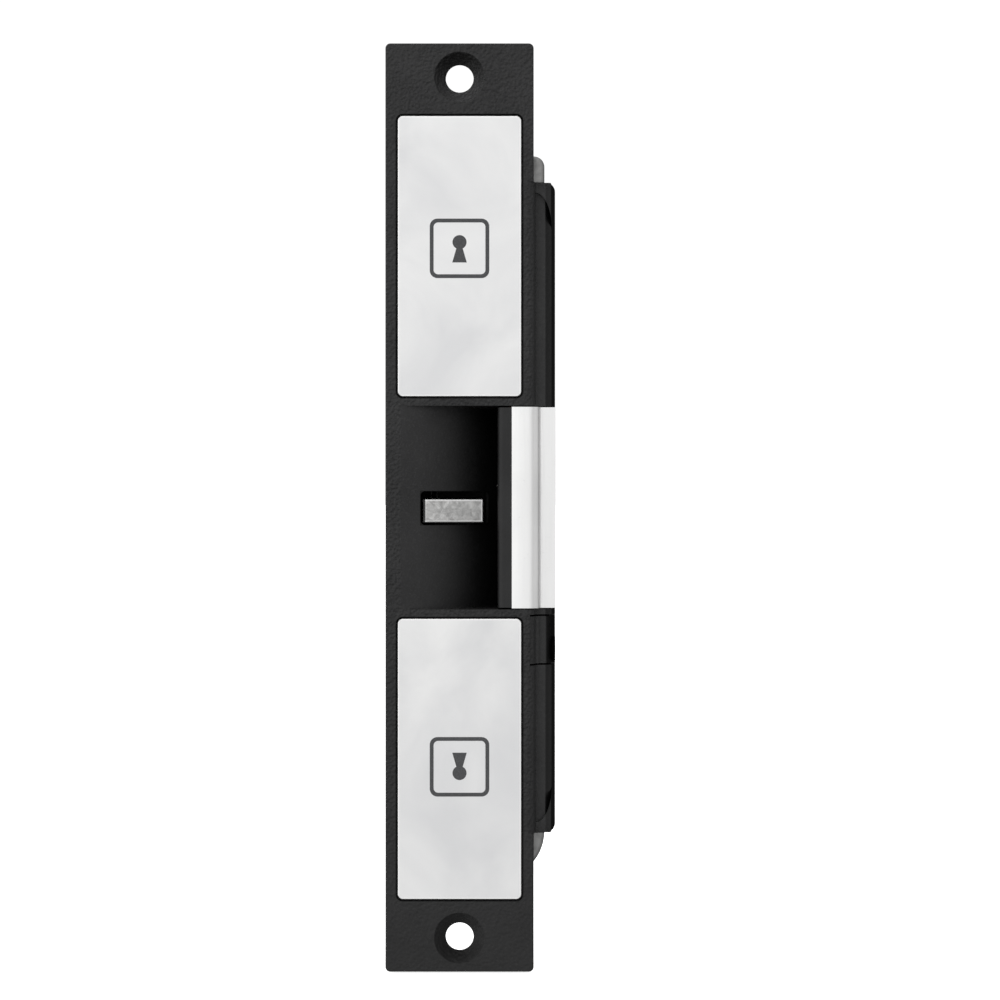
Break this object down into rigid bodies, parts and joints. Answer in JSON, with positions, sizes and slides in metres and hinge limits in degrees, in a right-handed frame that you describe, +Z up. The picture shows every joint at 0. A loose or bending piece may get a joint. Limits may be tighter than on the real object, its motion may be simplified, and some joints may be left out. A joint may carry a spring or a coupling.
{
  "type": "electric door strike",
  "caption": "Black electric door strike with a bright swinging keeper, ramped latch pocket, latch trigger and solenoid-driven locking bolt.",
  "frame": {"origin": "midway between the two fixing holes, on the faceplate's back (seating) plane", "axes": "+X towards the side the keeper opens to, +Y into the door frame, +Z up along the faceplate; the faceplate faces -Y"},
  "size_m": [0.0379, 0.031, 0.206],
  "materials": {
    "black_casting": "fine wrinkle powder coat, black",
    "label_satin": "satin silver",
    "keeper_black": "smooth black coat",
    "stainless": "satin stainless",
    "screw_steel": "bright zinc plate",
    "bronze": "sintered bronze",
    "pin_steel": "ground steel",
    "hard_steel": "hardened, dark",
    "zinc_steel": "zinc plated pressing",
    "spring_steel": "drawn wire",
    "black_screw": "black oxide",
    "soft_iron": "plated soft iron",
    "nylon_black": "black nylon",
    "copper_coil": "enamelled copper winding",
    "cast_grey": "as cast, tumbled",
    "switch_black": "moulded black",
    "switch_red": "moulded red",
    "contact_metal": "tinned brass",
    "board_green": "solder mask",
    "terminal_green": "moulded green",
    "varistor_blue": "dipped coating",
    "capacitor_sleeve": "dark sleeve",
    "lead_insulation": "PVC insulation",
    "zinc_case": "bare zinc die casting, matte grey",
    "rubber_black": "black rubber"
  },
  "bodies": {
    "housing": {"front_casting": "black_casting", "pivot_pin_retainer": "black_casting", "upper_label_plate": "label_satin", "lower_label_plate": "label_satin", "bolt_guide_bush": "bronze", "keeper_pivot_pin": "pin_steel", "trigger_pivot_pin": "pin_steel", "lever_pivot_pin": "pin_steel", "keeper_return_spring": "spring_steel", "plunger_spring": "spring_steel", "trigger_spring": "spring_steel", "lever_retaining_clip": "spring_steel", "retainer_screw": "black_screw", "solenoid_core": "soft_iron", "solenoid_frame": "zinc_steel", "solenoid_bobbin": "nylon_black", "solenoid_coil": "copper_coil", "solenoid_screws": "screw_steel", "latch_switch_body": "switch_black", "latch_switch_terminals": "contact_metal", "switch_bracket": "zinc_steel", "switch_screws": "screw_steel", "bracket_screw": "screw_steel", "circuit_board": "board_green", "board_screws": "screw_steel", "terminal_block": "terminal_green", "terminal_screws": "screw_steel", "rectifier": "switch_black", "surge_suppressor": "varistor_blue", "smoothing_capacitor": "capacitor_sleeve", "coil_leads": "lead_insulation", "rear_case": "zinc_case", "rear_case_screws": "screw_steel", "cable_grommet": "rubber_black"},
    "keeper": {"keeper_body": "keeper_black", "keeper_face_plate": "stainless", "keeper_plate_screws": "screw_steel", "keeper_bushes": "bronze"},
    "locking_bolt": {"locking_bolt": "hard_steel", "bolt_link_pin": "pin_steel"},
    "locking_lever": {"locking_lever": "zinc_steel"},
    "plunger": {"solenoid_plunger": "soft_iron", "plunger_link_pin": "pin_steel", "plunger_spring_clip": "spring_steel"},
    "trigger": {"latch_trigger": "cast_grey"},
    "switch_button": {"latch_switch_button": "switch_red"}
  },
  "joints": [
    {"name": "keeper_swing", "type": "hinge", "parent": "housing", "child": "keeper", "pos_m": [0.013, 0.018, 0], "axis": [0, 0, 1], "range_deg": [0, 75], "stiffness_Nm_per_rad": 0.012, "springref_deg": -28.65, "deforming": ["keeper_return_spring"]},
    {"name": "plunger_slide", "type": "slide", "parent": "housing", "child": "plunger", "axis": [0, 0, 1], "range_m": [0, 0.0045], "stiffness_N_per_m": 300, "springref_m": -0.004, "deforming": ["plunger_spring"]},
    {"name": "locking_lever_rock", "type": "hinge", "parent": "housing", "child": "locking_lever", "pos_m": [0.005, 0.0095, 0.034], "axis": [0, 1, 0], "range_deg": [0, 32.3]},
    {"name": "locking_bolt_slide", "type": "slide", "parent": "housing", "child": "locking_bolt", "axis": [0, 0, -1], "range_m": [0, 0.00451]},
    {"name": "trigger_press", "type": "hinge", "parent": "housing", "child": "trigger", "pos_m": [0, 0.0135, -0.033], "axis": [-1, 0, 0], "range_deg": [0, 6], "stiffness_Nm_per_rad": 0.15, "springref_deg": -5.73, "deforming": ["trigger_spring"]},
    {"name": "switch_button_travel", "type": "slide", "parent": "housing", "child": "switch_button", "axis": [0, -1, 0], "range_m": [0, 0.00105]}
  ],
  "couplings": [
    {"joint": "locking_lever_rock", "follows": "plunger_slide", "rad_per_m": 125},
    {"joint": "locking_bolt_slide", "follows": "plunger_slide", "ratio": 1},
    {"joint": "switch_button_travel", "follows": "trigger_press", "m_per_rad": 0.01}
  ]
}
